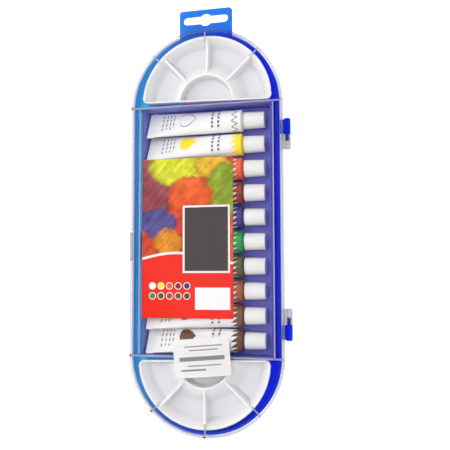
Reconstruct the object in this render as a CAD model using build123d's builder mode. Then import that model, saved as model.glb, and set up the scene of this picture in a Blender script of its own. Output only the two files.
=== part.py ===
from build123d import *
import math
import os

# Watercolour paint box: a long round-ended case with a clear lid hinged along one side.
# Two loose half-round palettes fill the ends and ten paint tubes lie across the middle.
# Frame: origin at the centre of the underside, +X to the hinges, +Y to the hang tab, +Z up.

# Case
case_height = 18.0          # underside to the top of the rim
rim_radius = 51.5           # outer radius of the rim flange at the round ends
rim_centre_y = 85.5         # distance from the middle to each centre of the rim's end arcs
rim_depth = 4.2             # the rim is a band round the top of the wall
pocket_radius = 49.4        # inside radius of the wall at the rim
pocket_centre_y = 86.2      # the inside is a little longer than the rim's own outline
case_wall = 1.3
case_floor = 1.6
draft_deg = 3.5
base_edge = 1.2             # bevel round the underside
merge = 0.2                 # small overlap that makes added pieces one with their wall

# Ribs inside the case
tray_half_width = 45.0      # inner faces of the two long ribs beside the tubes
tray_half_length = 85.4     # inner faces of the two cross ribs
tray_rib = 1.2
tray_rib_top = 17.0
rest_angles = (22.5, 67.5, 112.5, 157.5)
rest_centre_y = 88.2
rest_radius = 34.0          # each palette stands on four rests, under the middles of its wells
rest_length = 6.0
rest_thickness = 1.4

# Hang tab with its slot
tab_width = 38.0
tab_end_y = 154.4
tab_thickness = 2.0
tab_top = 16.6
tab_corner = 2.2
slot_width = 32.0
slot_height = 5.6
slot_bump = 8.8
slot_centre_y = 147.0

# Lid
lid_radius = 53.5
lid_wall = 1.4
lid_top = 21.0
lid_plate = 1.5
skirt_bottom = 12.0
lid_edge = 1.4              # bevel round the top
lid_rib = 1.2
lid_rib_bottom = 18.1       # the cross ribs come down just above the rim
side_rib_x = 47.2
end_rib_angles = (45, 90, 135)
end_rib_inner_radius = 44.5
tab_notch_top = 17.2
tab_notch_gap = 0.8
notch_depth = 4.0

# Hinge
hinge_x = 56.0
hinge_z = 12.0
knuckle_radius = 2.3
case_knuckle = (63.9, 74.6)
lid_knuckle = (53.3, 63.75)
knuckle_bevel = 0.8         # at the free end of each barrel
pin_radius = 1.2
pin_clearance = 0.05
pin_end = 59.6
bore_end = 59.2
bracket_rise = 5.2          # the lid's brackets run up its wall
bracket_nose = (1.4, 1.7)   # where a bracket's slope meets its barrel, from the axis
bore_web = 0.5              # material between the bore and the bracket
arm_z = (9.6, 11.6)
arm_inset = 0.6             # arms and brackets are a little shorter than their barrels
gusset_low = 3.5
gusset_corner = (54.8, 10.6)
gusset_thickness = 1.6

# Latch
latch_y = (-21.0, -1.0)
latch_gap = 0.4
latch_root = (-53.4, 17.35)
latch_root_gap = 0.15
latch_thickness = 1.3
latch_bend_drops = (1.6, 4.4)   # below the root, where the tab bends out and down
latch_bend_web = 0.5
latch_bulge_x = -56.9
latch_bottom = 8.4
latch_bevel = 0.9
latch_round = 0.6
hook_height = 2.2
hook_bevel = 0.7
hook_web = 1.0
catch_x = -52.2
catch_root_z = (7.6, 11.2)
catch_face_z = (9.9, 10.7)
catch_gap = 0.3

# Palettes, each loose in its pocket: x and y of its straight side's middle, and its turn
upper_palette_place = (0.0, 88.9, -1.5)
lower_palette_place = (-2.0, -88.2, 181.5)
palette_radius = 46.3
palette_corner = 4.0
palette_top = 16.6
palette_wall = 1.2
flange_inner_radius = 44.6
well_floor = 8.6
well_floor_radii = (29.0, 39.5)
ring_radii = (18.4, 19.8)
ring_top = 16.0
divider_angles = (45, 90, 135)
divider_thickness = 1.3
divider_top = 16.0
underside_shift = 0.7       # the underside's corners, so that the slopes keep their thickness
ring_hollow_drop = 0.5

# Paint tubes, numbered from the hang tab's end
tube_count = 10
tube_first_y = 75.3
tube_pitch = 16.75
shoulder_x = 24.4
body_length = 68.1
tube_radius = 7.6
crimp_width = 21.6
crimp_length = 5.5
crimp_thickness = 1.3
crimp_grip = 3.0            # the body's sides run together inside the crimp
body_end_width = 20.0
tube_sides = 16             # tubes and caps are turned with many flat sides
tube_roll_deg = 27.0        # the flat ends lie like roof tiles
tube_roll_spread = 2.5
tube_lift = 0.05
shoulder_length = 1.6
shoulder_top_radius = 4.6
neck_radius = 4.1
neck_length = 9.0

# Screw caps
cap_length = 14.3
cap_gap = 0.25              # between the shoulder and the cap
cap_radii = (5.95, 5.6)     # at the shoulder and below the crown's bevel
cap_sides = 18              # also of the neck and the bore
cap_edge = 0.6
neck_clearance = 0.05
cap_bore_depth = 12.3

# Printed card and sticker
card_size = (65.1, 110.0)
card_centre = (-13.1, -5.5)
card_thickness = 0.35
card_gap = 0.15
sticker_size = (39.0, 27.3)
sticker_centre = (-1.3, -86.0)
sticker_turn_deg = 3.6
sticker_corner = 2.0
sticker_thickness = 0.12

ends = (1, -1)
tube_axis_z = case_floor + tube_radius + tube_lift
rest_top = well_floor - palette_wall


def save(part, name):
    part.label = name
    export_step(part, f"parts/{name}.step")


def stadium(radius, centre_y):
    """Round-ended outline along Y, for the current sketch."""
    SlotCenterToCenter(2 * centre_y, 2 * radius, rotation=90)


def drafted_wall_inset(height):
    """How far the drafted case wall stands in from its rim size at a height."""
    return (case_height - height) * math.tan(math.radians(draft_deg))


def profile_across(points, y_low, y_high):
    """Solid with a closed outline of (x, z) points, from one y to another."""
    with BuildPart() as piece:
        with BuildSketch(Plane.XZ.offset(-y_high)):
            with BuildLine():
                Polyline(*points, close=True)
            make_face()
        extrude(amount=y_high - y_low)
    return piece.part


def turned(points, plane):
    """Solid turned about the plane's Y axis from a closed outline of (radius, height)."""
    with BuildPart() as piece:
        with BuildSketch(plane):
            with BuildLine():
                Polyline(*points, close=True)
            make_face()
        revolve(axis=Axis(plane.origin, plane.y_dir))
    return piece.part


def hinge_plane(end):
    """Plane on the hinge axis: the radius along X and the distance along Y to one end."""
    return Plane(origin=(hinge_x, 0, hinge_z), x_dir=(1, 0, 0), z_dir=(0, 0, end))


def case_knuckle_solid(end):
    """Barrel with its moulded pin, turned about the hinge axis."""
    inner, outer = case_knuckle
    points = [
        (0, pin_end),
        (pin_radius, pin_end),
        (pin_radius, inner),
        (knuckle_radius, inner),
        (knuckle_radius, outer - knuckle_bevel),
        (knuckle_radius - knuckle_bevel, outer),
        (0, outer),
    ]
    return turned(points, hinge_plane(end))


def lid_knuckle_solid(end):
    """Barrel with a blind bore that runs on the case's pin."""
    inner, outer = lid_knuckle
    bore_radius = pin_radius + pin_clearance
    points = [
        (0, inner),
        (knuckle_radius - knuckle_bevel, inner),
        (knuckle_radius, inner + knuckle_bevel),
        (knuckle_radius, outer),
        (bore_radius, outer),
        (bore_radius, bore_end),
        (0, bore_end),
    ]
    return turned(points, hinge_plane(end))


def span(pair, end):
    """The pair of y values, mirrored for the other end, lowest first."""
    return sorted((end * pair[0], end * pair[1]))


def make_case():
    base_radius = pocket_radius + case_wall - drafted_wall_inset(0)
    floor_radius = pocket_radius - drafted_wall_inset(case_floor)
    wall_x = base_radius - case_wall / 2
    with BuildPart() as case:
        # outer wall, standing outwards to the rim
        with BuildSketch(Plane.XY):
            stadium(base_radius, pocket_centre_y)
        extrude(amount=case_height, taper=-draft_deg)
        chamfer(case.faces().sort_by(Axis.Z)[0].edges(), base_edge)
        # rim
        with BuildSketch(Plane.XY.offset(case_height - rim_depth)):
            stadium(rim_radius, rim_centre_y)
        extrude(amount=rim_depth)
        # hang tab
        with BuildSketch(Plane.XY.offset(tab_top - tab_thickness)):
            with Locations((0, tab_end_y / 2)):
                RectangleRounded(tab_width, tab_end_y, tab_corner)
        extrude(amount=tab_thickness)
        # hinge arms, gussets and barrels
        for end in ends:
            low, high = span(case_knuckle, end)
            arm_low, arm_high = arm_z
            arm = [(wall_x, arm_low), (hinge_x, arm_low), (hinge_x, arm_high), (wall_x, arm_high)]
            add(profile_across(arm, low + arm_inset, high - arm_inset))
            middle = (low + high) / 2
            half = gusset_thickness / 2
            gusset = [(wall_x, gusset_low), gusset_corner, (wall_x, gusset_corner[1])]
            add(profile_across(gusset, middle - half, middle + half))
            add(case_knuckle_solid(end))
        # catch ridge for the latch
        root_low, root_high = catch_root_z
        face_low, face_high = catch_face_z
        catch = [
            (-wall_x, root_low),
            (catch_x, face_low),
            (catch_x, face_high),
            (catch_x + root_high - face_high, root_high),
            (-wall_x, root_high),
        ]
        add(profile_across(catch, latch_y[0] + catch_gap, latch_y[1] - catch_gap))
        # inside of the case
        with BuildSketch(Plane.XY.offset(case_floor)):
            stadium(floor_radius, pocket_centre_y)
        extrude(amount=case_height - case_floor, taper=-draft_deg, mode=Mode.SUBTRACT)
        # cross ribs, reaching into the wall, and long ribs
        cross_y = tray_half_length + tray_rib / 2
        cross_length = 2 * (pocket_radius + merge)
        with BuildSketch(Plane.XY.offset(case_floor)):
            with Locations((0, cross_y), (0, -cross_y)):
                Rectangle(cross_length, tray_rib)
            side_x = tray_half_width + tray_rib / 2
            with Locations((side_x, 0), (-side_x, 0)):
                Rectangle(tray_rib, 2 * cross_y)
        extrude(amount=tray_rib_top - case_floor)
        # rests for the palettes
        with BuildSketch(Plane.XY.offset(case_floor)):
            for end in ends:
                for angle in rest_angles:
                    turn = math.radians(end * angle)
                    x = rest_radius * math.cos(turn)
                    y = end * rest_centre_y + rest_radius * math.sin(turn)
                    with Locations(Location((x, y, 0), (0, 0, end * angle))):
                        Rectangle(rest_length, rest_thickness)
        extrude(amount=rest_top - case_floor)
        # hanging slot
        with BuildSketch(Plane.XY.offset(tab_top - tab_thickness)):
            with Locations((0, slot_centre_y)):
                SlotOverall(slot_width, slot_height)
                Circle(slot_bump / 2)
        extrude(amount=tab_thickness, mode=Mode.SUBTRACT)
    save(case.part, "case")


def make_lid():
    inner_radius = lid_radius - lid_wall
    plate_bottom = lid_top - lid_plate
    with BuildPart() as lid:
        with BuildSketch(Plane.XY.offset(skirt_bottom)):
            stadium(lid_radius, rim_centre_y)
        extrude(amount=lid_top - skirt_bottom)
        chamfer(lid.faces().sort_by(Axis.Z)[-1].edges(), lid_edge)
        with BuildSketch(Plane.XY.offset(skirt_bottom)):
            stadium(inner_radius, rim_centre_y)
        extrude(amount=plate_bottom - skirt_bottom, mode=Mode.SUBTRACT)
        # cross ribs and end ribs, which come down on the rim
        cross_y = tray_half_length + tray_rib / 2
        with BuildSketch(Plane.XY.offset(lid_rib_bottom)):
            with Locations((0, cross_y), (0, -cross_y)):
                Rectangle(2 * (inner_radius + merge), lid_rib)
            for end in ends:
                for angle in end_rib_angles:
                    turn = math.radians(end * angle)
                    reach = inner_radius + merge - end_rib_inner_radius
                    radius = end_rib_inner_radius + reach / 2
                    place = (radius * math.cos(turn), end * rim_centre_y + radius * math.sin(turn))
                    with Locations(Location((*place, 0), (0, 0, end * angle))):
                        Rectangle(reach, lid_rib)
            with Locations((side_rib_x, 0), (-side_rib_x, 0)):
                Rectangle(lid_rib, 2 * cross_y)
        extrude(amount=plate_bottom + merge - lid_rib_bottom)
        # hinge barrels on their brackets
        wall_x = lid_radius - lid_wall / 2
        nose_x, nose_z = bracket_nose
        bracket = [
            (wall_x, hinge_z),
            (hinge_x - pin_radius - 2 * bore_web, hinge_z),
            (hinge_x, hinge_z + pin_radius + bore_web),
            (hinge_x + nose_x, hinge_z + nose_z),
            (lid_radius - merge, hinge_z + bracket_rise),
            (wall_x, hinge_z + bracket_rise),
        ]
        for end in ends:
            low, high = span(lid_knuckle, end)
            add(profile_across(bracket, low + arm_inset, high - arm_inset))
            add(lid_knuckle_solid(end))
        # notches for the hang tab and for the latch
        notch_y = rim_centre_y + lid_radius - notch_depth / 2
        with BuildSketch(Plane.XY.offset(skirt_bottom)):
            with Locations((0, notch_y)):
                Rectangle(tab_width + 2 * tab_notch_gap, 2 * notch_depth)
        extrude(amount=tab_notch_top - skirt_bottom, mode=Mode.SUBTRACT)
        with BuildSketch(Plane.XY.offset(skirt_bottom)):
            with Locations((-lid_radius, sum(latch_y) / 2)):
                Rectangle(notch_depth, latch_y[1] - latch_y[0] + 2 * latch_gap)
        extrude(amount=latch_root[1] + latch_root_gap - skirt_bottom, mode=Mode.SUBTRACT)
    save(lid.part, "lid")


def make_latch():
    """Thumb tab that bends outwards at its root, with a hook beside the catch ridge."""
    root_x, root_z = latch_root
    outer_x = latch_bulge_x
    inner_x = latch_bulge_x + latch_thickness
    upper_z, lower_z = [root_z - drop for drop in latch_bend_drops]
    hook_x = catch_x - catch_gap
    hook_top = latch_bottom + hook_height
    outline = [
        (root_x, root_z),
        (root_x, upper_z),
        (outer_x, lower_z),
        (outer_x, latch_bottom + latch_bevel),
        (outer_x + latch_bevel, latch_bottom),
        (hook_x - hook_bevel, latch_bottom),
        (hook_x, latch_bottom + hook_bevel),
        (hook_x, hook_top - hook_bevel),
        (hook_x - hook_bevel, hook_top),
        (inner_x + hook_web, hook_top),
        (inner_x, hook_top + hook_web),
        (inner_x, lower_z - latch_bend_web),
        (root_x + latch_thickness, upper_z - latch_bend_web),
        (root_x + latch_thickness, root_z),
    ]
    with BuildPart() as latch:
        add(profile_across(outline, *latch_y))
        upright = latch.edges().filter_by(Axis.Y).sort_by(Axis.X)
        fillet(upright[:2], latch_round)
    save(latch.part, "latch_tab")


def bowl_profile(thin):
    """Half of the palette's section: a thin wall, or the whole space up to the top."""
    floor_in, floor_out = well_floor_radii
    ring_in, ring_out = ring_radii
    under = [
        (0, well_floor - palette_wall),
        (ring_in + palette_wall, well_floor - palette_wall),
        (ring_in + palette_wall, ring_top - palette_wall - ring_hollow_drop),
        (floor_in - underside_shift, well_floor - palette_wall),
        (floor_out + underside_shift, well_floor - palette_wall),
        (flange_inner_radius + underside_shift, palette_top - palette_wall),
        (palette_radius, palette_top - palette_wall),
    ]
    if not thin:
        return under + [(palette_radius, divider_top), (0, divider_top)]
    over = [
        (palette_radius, palette_top),
        (flange_inner_radius, palette_top),
        (floor_out, well_floor),
        (floor_in, well_floor),
        (ring_out, ring_top),
        (ring_in, ring_top),
        (ring_in, well_floor),
        (0, well_floor),
    ]
    return under + over


def palette_ribs():
    """Dividers between the wells and the straight front wall, before they are cut to the bowl."""
    with BuildPart() as ribs:
        with BuildSketch(Plane.XY):
            length = palette_radius - ring_radii[0]
            for angle in divider_angles:
                turn = math.radians(angle)
                radius = ring_radii[0] + length / 2
                place = (radius * math.cos(turn), radius * math.sin(turn), 0)
                with Locations(Location(place, (0, 0, angle))):
                    Rectangle(length, divider_thickness)
            with Locations((0, divider_thickness / 2)):
                Rectangle(2 * palette_radius, divider_thickness)
        extrude(amount=palette_top)
    return ribs.part


def make_palette(name, place):
    with BuildPart() as bowl:
        with BuildSketch(Plane.XZ):
            with BuildLine():
                Polyline(*bowl_profile(thin=True), close=True)
            make_face()
        revolve(axis=Axis.Z)
    with BuildPart() as filling:
        with BuildSketch(Plane.XZ):
            with BuildLine():
                Polyline(*bowl_profile(thin=False), close=True)
            make_face()
        revolve(axis=Axis.Z)
        add(palette_ribs(), mode=Mode.INTERSECT)
    with BuildPart() as palette:
        add(bowl.part)
        add(filling.part)
        # half-round outline with rounded corners
        with BuildSketch(Plane.XY) as outline:
            Circle(palette_radius)
            with Locations((0, -palette_radius / 2)):
                Rectangle(2 * palette_radius, palette_radius, mode=Mode.SUBTRACT)
            fillet(outline.vertices(), palette_corner)
        extrude(amount=palette_top, mode=Mode.INTERSECT)
    x, y, turn = place
    save(Location((x, y, 0), (0, 0, turn)) * palette.part, name)


def tube_plane(index):
    """Plane at a tube's shoulder: Z along the tube to its cap, X across its flat crimp."""
    roll = tube_roll_deg + tube_roll_spread * math.sin(2.1 * index)
    turn = math.radians(roll)
    y = tube_first_y - index * tube_pitch
    across = (0, -math.cos(turn), math.sin(turn))
    return Plane(origin=(shoulder_x, y, tube_axis_z), x_dir=across, z_dir=(1, 0, 0))


def ring_of_corners(plane, radius, height, sides):
    """Corners of a regular many-sided ring about a tube's axis."""
    step = 2 * math.pi / sides
    corners = []
    for side in range(sides):
        local = (radius * math.cos(side * step), radius * math.sin(side * step), height)
        corners.append(plane.from_local_coords(local))
    return corners


def flat_sides(lower, upper):
    """Outlines of the flat sides between two rings with as many corners."""
    following = list(range(1, len(lower))) + [0]
    return [[lower[k], lower[n], upper[n], upper[k]] for k, n in enumerate(following)]


def flat_faced_solid(outlines):
    """Solid closed by flat faces."""
    return Solid(Shell([Face(Wire.make_polygon(points)) for points in outlines]))


def tube_body(plane):
    """Shoulder and body, which flattens from its round end to a line inside the crimp."""
    base = ring_of_corners(plane, tube_radius, 0, tube_sides)
    top = ring_of_corners(plane, shoulder_top_radius, shoulder_length, tube_sides)
    line_height = crimp_length - crimp_grip - body_length
    half_line = body_end_width / 2
    near = plane.from_local_coords((half_line, 0, line_height))
    far = plane.from_local_coords((-half_line, 0, line_height))
    quarter = tube_sides // 4
    outlines = [top] + flat_sides(base, top)
    for side in range(tube_sides):
        end = near if side < quarter or side >= 3 * quarter else far
        outlines.append([base[side], base[(side + 1) % tube_sides], end])
    outlines.append([base[quarter], near, far])
    outlines.append([base[3 * quarter], near, far])
    return flat_faced_solid(outlines)


def make_tube(index):
    plane = tube_plane(index)
    with BuildPart() as tube:
        add(tube_body(plane))
        # folded crimp
        with BuildSketch(plane.offset(-body_length)):
            Rectangle(crimp_width, crimp_thickness)
        extrude(amount=crimp_length)
        # neck inside the cap
        with BuildSketch(plane.offset(shoulder_length)):
            RegularPolygon(neck_radius, cap_sides)
        extrude(amount=neck_length)
    save(tube.part, f"tube_{index + 1:02d}")


def make_cap(index):
    plane = tube_plane(index).offset(shoulder_length + cap_gap)
    base_radius, upper_radius = cap_radii
    base = ring_of_corners(plane, base_radius, 0, cap_sides)
    upper = ring_of_corners(plane, upper_radius, cap_length - cap_edge, cap_sides)
    crown = ring_of_corners(plane, upper_radius - cap_edge, cap_length, cap_sides)
    # the bore's flats clear the neck's corners at any turn
    bore_radius = (neck_radius + neck_clearance) / math.cos(math.pi / cap_sides)
    with BuildPart() as cap:
        add(flat_faced_solid([base, crown] + flat_sides(base, upper) + flat_sides(upper, crown)))
        with BuildSketch(plane):
            RegularPolygon(bore_radius, cap_sides)
        extrude(amount=cap_bore_depth, mode=Mode.SUBTRACT)
    save(cap.part, f"cap_{index + 1:02d}")


def make_card():
    level = tube_axis_z + tube_radius + card_gap
    with BuildPart() as card:
        with BuildSketch(Plane.XY.offset(level)):
            with Locations(card_centre):
                Rectangle(*card_size)
        extrude(amount=card_thickness)
    save(card.part, "card_insert")


def make_sticker():
    with BuildPart() as sticker:
        with BuildSketch(Plane.XY.offset(lid_top)):
            with Locations(Location((*sticker_centre, 0), (0, 0, sticker_turn_deg))):
                RectangleRounded(*sticker_size, sticker_corner)
        extrude(amount=sticker_thickness)
    save(sticker.part, "price_sticker")


os.makedirs("parts", exist_ok=True)
make_case()
make_lid()
make_latch()
make_palette("palette_upper", upper_palette_place)
make_palette("palette_lower", lower_palette_place)
for number in range(tube_count):
    make_tube(number)
    make_cap(number)
make_card()
make_sticker()
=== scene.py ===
import bmesh
import bpy
import math
import numpy as np
from mathutils import Matrix, Vector


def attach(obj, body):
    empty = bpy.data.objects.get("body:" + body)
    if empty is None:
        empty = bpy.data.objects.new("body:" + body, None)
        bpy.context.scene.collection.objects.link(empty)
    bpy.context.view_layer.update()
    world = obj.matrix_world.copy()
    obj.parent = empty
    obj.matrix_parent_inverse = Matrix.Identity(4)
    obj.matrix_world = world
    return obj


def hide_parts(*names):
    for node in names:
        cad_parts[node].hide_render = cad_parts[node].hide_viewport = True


# Watercolour paint box seen through its clear lid. Shapes are worked out in millimetres in the
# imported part's own frame and become metres when a mesh is made.
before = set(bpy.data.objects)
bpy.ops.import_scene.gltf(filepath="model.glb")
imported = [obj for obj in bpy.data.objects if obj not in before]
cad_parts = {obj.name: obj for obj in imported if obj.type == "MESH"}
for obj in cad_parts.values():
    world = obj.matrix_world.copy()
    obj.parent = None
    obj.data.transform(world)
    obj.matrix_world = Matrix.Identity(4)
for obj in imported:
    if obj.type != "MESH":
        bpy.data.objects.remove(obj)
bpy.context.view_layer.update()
mm = 0.001
mergeWithin = 2e-6
tiny, far = 1e-9, 1e9
bothEnds = (1, -1)
print("frame loaded:", len(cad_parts), "nodes")


# shapes

def softMax(a, b, width):
    # the larger of two heights, with a fillet: (a + b + sqrt((a - b)^2 + width^2)) / 2
    return (a + b + np.sqrt((a - b) ** 2 + width ** 2)) / 2


def gridQuads(rows, columns, wrapRows, wrapColumns):
    # each quad joins a grid point to the next in its row, and both to the next row
    row, column = np.meshgrid(np.arange(rows if wrapRows else rows - 1),
                              np.arange(columns if wrapColumns else columns - 1), indexing="ij")
    nextRow, nextColumn = (row + 1) % rows, (column + 1) % columns
    corners = [row * columns + column, row * columns + nextColumn,
               nextRow * columns + nextColumn, nextRow * columns + column]
    return np.stack(corners, axis=-1).reshape(-1, 4)


def patch(points, wrapRows=False, wrapColumns=True, capFirst=False, capLast=False, extraQuads=None):
    # a grid of points as one surface, with its first and last rows closed by a face if asked
    rows, columns = points.shape[:2]
    quads = gridQuads(rows, columns, wrapRows, wrapColumns)
    if extraQuads is not None:
        quads = np.concatenate([quads, extraQuads])
    ring = np.arange(columns)
    caps = [ring.tolist()] if capFirst else []
    if capLast:
        caps.append((ring[::-1] + (rows - 1) * columns).tolist())
    return points.reshape(-1, 3), quads, caps


def makePiece(name, patches, material, body, replaces, crease=38, uv=None):
    # patches become one mesh in metres: doubles merged, faces outward, corners past the crease sharp
    points, quads, caps, start = [], [], [], 0
    for patchPoints, patchQuads, patchCaps in patches:
        points.append(patchPoints * mm)
        quads.append(patchQuads + start)
        caps += [[corner + start for corner in cap] for cap in patchCaps]
        start += len(patchPoints)
    mesh = bpy.data.meshes.new(name)
    mesh.from_pydata(np.concatenate(points).tolist(), [], np.concatenate(quads).tolist() + caps)
    if uv is not None:
        corners = np.zeros(len(mesh.loops), np.int32)
        mesh.loops.foreach_get("vertex_index", corners)
        layer = mesh.uv_layers.new(name="printMap")
        layer.data.foreach_set("uv", uv.reshape(-1, 2)[corners].astype(np.float32).ravel())
    build = bmesh.new()
    build.from_mesh(mesh)
    bmesh.ops.remove_doubles(build, verts=build.verts, dist=mergeWithin)
    bmesh.ops.recalc_face_normals(build, faces=build.faces)
    build.to_mesh(mesh)
    build.free()
    mesh.shade_smooth()
    mesh.set_sharp_from_angle(angle=math.radians(crease))
    mesh.materials.append(material)
    piece = bpy.data.objects.new(name, mesh)
    bpy.context.scene.collection.objects.link(piece)
    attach(piece, body)
    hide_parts(*replaces)


def softened(corners, radius, steps=5, closed=True):
    # each corner becomes the curve (1-t)^2 a + 2t(1-t) corner + t^2 b, a and b a radius away from it
    corners = np.asarray(corners, float)
    radius = np.broadcast_to(np.asarray(radius, float), (len(corners),))[:, None]
    back = np.roll(corners, 1, axis=0) - corners
    onward = np.roll(corners, -1, axis=0) - corners
    backLength = np.linalg.norm(back, axis=1, keepdims=True)
    onwardLength = np.linalg.norm(onward, axis=1, keepdims=True)
    most = 0.48    # share of a side that a corner may take
    a = (corners + back / backLength * np.minimum(radius, most * backLength))[:, None]
    b = (corners + onward / onwardLength * np.minimum(radius, most * onwardLength))[:, None]
    t = np.linspace(0, 1, steps + 1)[None, :, None]
    curves = (1 - t) ** 2 * a + 2 * t * (1 - t) * corners[:, None] + t * t * b
    if closed:
        return curves.reshape(-1, corners.shape[1])
    inner = curves[1:-1].reshape(-1, corners.shape[1])
    return np.concatenate([corners[:1], inner, corners[-1:]])


def inwardNormals(outline):
    # unit vectors square to the outline's run, turned to the inside of its winding
    run = np.roll(outline, -1, axis=0) - np.roll(outline, 1, axis=0)
    run /= np.linalg.norm(run, axis=1, keepdims=True)
    x, y = outline.T
    winding = np.sign(np.sum(x * np.roll(y, -1) - np.roll(x, -1) * y))
    return np.stack([-run[:, 1], run[:, 0]], axis=1) * winding


def uprightPlace(a, b, height):
    # an outline in X and Y, carried along Z
    return np.stack([a, b, height], axis=-1)


def acrossPlace(a, b, height):
    # an outline in X and Z, carried along Y
    return np.stack([a, height, b], axis=-1)


def edgeSteps(low, high, edge, steps=3):
    # insets and heights from low to high: at both ends edge(1 - sin p) inwards over edge(1 - cos p)
    p = np.linspace(0, np.pi / 2, steps + 1)
    drawIn, climb = edge * (1 - np.sin(p)), edge * (1 - np.cos(p))
    return np.concatenate([drawIn, drawIn[::-1]]), np.concatenate([low + climb, high - climb[::-1]])


def slab(outline, low, high, edge, place=uprightPlace):
    # an outline carried straight on from low to high, drawn in at both ends to round its edges
    insets, heights = edgeSteps(low, high, edge)
    rows = outline[None] + insets[:, None, None] * inwardNormals(outline)[None]
    level = np.broadcast_to(heights[:, None], rows.shape[:2])
    return patch(place(rows[..., 0], rows[..., 1], level), capFirst=True, capLast=True)


def rectangle(centre, size, turn=0.0, radius=0.3):
    # corners at plus and minus half the size, turned about the centre, then softened
    half = np.array([[1, 1], [-1, 1], [-1, -1], [1, -1]]) * np.asarray(size) / 2
    c, s = math.cos(turn), math.sin(turn)
    return softened(half @ np.array([[c, s], [-s, c]]) + np.asarray(centre), radius)


def outlinePath(extraTurns=(), extraSides=(), arcSteps=90, sideSteps=10):
    # the round-ended outline as a turn about the arcs' centres, and the centres' share of +1 to -1
    plain = np.linspace(0, np.pi, arcSteps + 1)
    arc = np.unique(np.concatenate([plain, np.asarray(extraTurns, float)]))
    side = np.concatenate([np.linspace(-1, 1, sideSteps + 1), np.asarray(extraSides, float)])
    side = np.unique(side)[1:-1]
    turn = np.concatenate([arc, np.full(len(side), np.pi), plain + np.pi, np.full(len(side), 2 * np.pi)])
    share = np.concatenate([np.ones(len(arc)), side[::-1], -np.ones(len(plain)), side])
    return turn, share


def alongOutline(profile, path):
    # each (radius, centre distance, height) goes round: x = r cos(turn), y = centre share + r sin(turn)
    turn, share = path
    radius, centre, height = [column[:, None] for column in np.asarray(profile, float).T]
    x = radius * np.cos(turn)
    y = centre * share + radius * np.sin(turn)
    return np.stack([x, y, np.broadcast_to(height, x.shape)], axis=-1)


def turned(profile, origin, axis, across, steps=40):
    # each (radius, height) goes round: origin + h axis + r (cos across + sin (axis x across))
    axis, across = np.asarray(axis, float), np.asarray(across, float)
    sideways = np.cross(axis, across)
    angle = np.linspace(0, 2 * np.pi, steps, endpoint=False)[None, :, None]
    radius, height = [column[:, None, None] for column in np.asarray(profile, float).T]
    return patch(origin + height * axis + radius * (np.cos(angle) * across + np.sin(angle) * sideways))


def ribFrame(end, crossX, sideX, low, high, edge):
    # a rib across one end of the tray and one along one of its sides
    crossY = case["trayHalfLength"] + case["rib"] / 2
    across = rectangle((0, end * crossY), (2 * crossX, case["rib"]))
    beside = rectangle((end * sideX, 0), (case["rib"], 2 * crossY))
    return [slab(across, low, high, edge), slab(beside, low, high, edge)]


def radialBars(end, turns, centreY, radius, size, low, high, edge):
    # the same small bar at each turn round one end's centre: r (cos turn, sin turn) from it
    bars = []
    for degrees in turns:
        turn = math.radians(end * degrees)
        centre = (radius * math.cos(turn), end * centreY + radius * math.sin(turn))
        bars.append(slab(rectangle(centre, size, turn), low, high, edge))
    return bars


# finishes: noise is written as (scale, detail, roughness, stretch, turn), as far as it is needed

def sign(operation):
    # what a plain sign does between a node's output and another or a number: it adds that Math node
    return lambda first, *others: first.math(operation, *others)


class Output:
    # a node's output, wrapped so that a finish can be written as plain sums
    __add__, __sub__, __mul__, __truediv__ = map(sign, ("ADD", "SUBTRACT", "MULTIPLY", "DIVIDE"))
    __pow__, __lt__, __gt__, __abs__ = map(sign, ("POWER", "LESS_THAN", "GREATER_THAN", "ABSOLUTE"))

    def __init__(self, tree, socket):
        self.tree, self.socket = tree, socket

    def __rsub__(self, number):
        return self * -1 + number

    def math(self, operation, *others, clamp=False):
        values = dict(enumerate((self,) + others))
        return addNode(self.tree, "ShaderNodeMath", values, operation=operation, use_clamp=clamp)


def addNode(tree, kind, inputs=(), which=0, **settings):
    # a node with its settings; each input is another node's output, a colour, a vector or a number
    node = tree.nodes.new(kind)
    for name, value in settings.items():
        setattr(node, name, value)
    for key, value in dict(inputs).items():
        socket = node.inputs[key]
        if isinstance(value, Output):
            tree.links.new(value.socket, socket)
        else:
            socket.default_value = (*value, 1) if socket.type == "RGBA" else value
    return Output(tree, node.outputs[which])


def newFinish(name):
    material = bpy.data.materials.new(name)
    material.use_nodes = True
    material.node_tree.nodes.clear()
    return material, material.node_tree


def finishWith(material, surface):
    output = surface.tree.nodes.new("ShaderNodeOutputMaterial")
    surface.tree.links.new(surface.socket, output.inputs["Surface"])
    return material


def shader(tree, kind, **inputs):
    # an input's name has underscores for its spaces
    named = {name.replace("_", " "): value for name, value in inputs.items()}
    return addNode(tree, "ShaderNodeBsdf" + kind, named)


def mixShaders(amount, first, second):
    return addNode(first.tree, "ShaderNodeMixShader", {0: amount, 1: first, 2: second})


def blendColour(amount, first, second, rule="MIX"):
    # the first colour where the amount is 0 and the second where it is 1; they are inputs 6 and 7
    tree = next(value.tree for value in (amount, first) if isinstance(value, Output))
    return addNode(tree, "ShaderNodeMix", {0: amount, 6: first, 7: second}, 2,
                   data_type="RGBA", blend_type=rule)


def objectPlace(tree):
    return addNode(tree, "ShaderNodeTexCoord", which="Object")


def axes(vector):
    # a vector's three parts
    node = vector.tree.nodes.new("ShaderNodeSeparateXYZ")
    vector.tree.links.new(vector.socket, node.inputs[0])
    return [Output(vector.tree, socket) for socket in node.outputs]


def fade(value, low, high, outLow=0.0, outHigh=1.0):
    # outLow to outHigh, smoothly, as the value goes from low to high
    span = dict(enumerate((value, low, high, outLow, outHigh)))
    return addNode(value.tree, "ShaderNodeMapRange", span, interpolation_type="SMOOTHSTEP")


def within(value, span):
    # 1 between the span's two ends and 0 elsewhere
    return (value > span[0]) * (value < span[1])


def distance(a, b):
    # sqrt(a^2 + b^2)
    return (a ** 2.0 + b ** 2.0).math("SQRT")


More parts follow.
